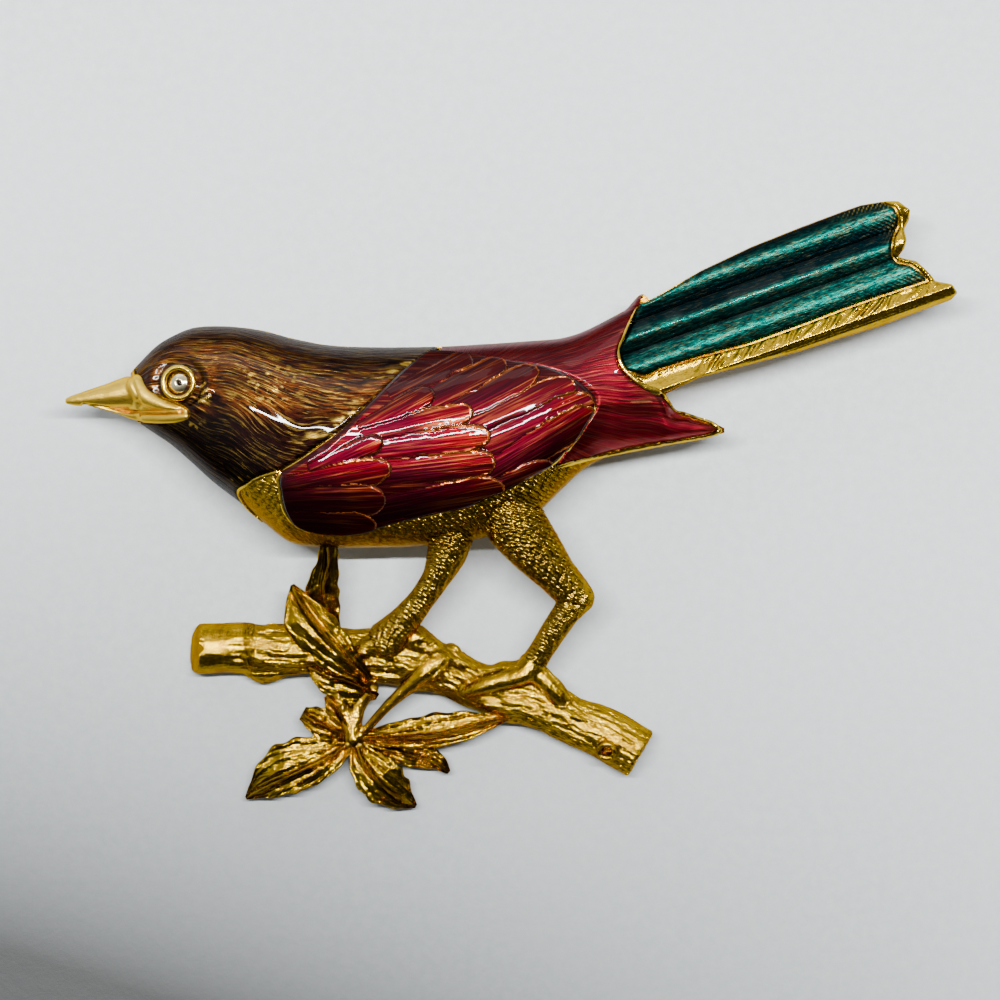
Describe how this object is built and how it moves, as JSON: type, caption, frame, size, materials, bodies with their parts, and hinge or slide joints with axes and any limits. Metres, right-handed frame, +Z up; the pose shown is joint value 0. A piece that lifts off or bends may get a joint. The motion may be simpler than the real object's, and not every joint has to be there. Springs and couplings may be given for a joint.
{
  "type": "figural animal brooch",
  "caption": "Bird brooch: a perching songbird in cast gold-plated metal with glossy coloured enamel, standing on a leafy branch, with a pin on its back.",
  "frame": {"origin": "centre of the bounding box at the surface that the brooch lies on", "axes": "+Z up out of the brooch's front, +X towards the tail, so the beak points to -X, and +Y from the branch towards the bird's back"},
  "size_m": [0.0716, 0.0497, 0.0127],
  "materials": {
    "gold": "gold plated, polished with a fine cast texture",
    "brown_enamel": "translucent enamel, glossy, amber to dark brown over engraved gold",
    "red_enamel": "translucent enamel, glossy, over engraved gold",
    "green_enamel": "translucent enamel, glossy, over ridged gold"
  },
  "bodies": {
    "root": {"casting": "gold", "head_enamel": "brown_enamel", "wing_enamel": "red_enamel", "back_enamel": "red_enamel", "tail_enamel": "green_enamel", "pin_finding": "gold"}
  },
  "joints": []
}
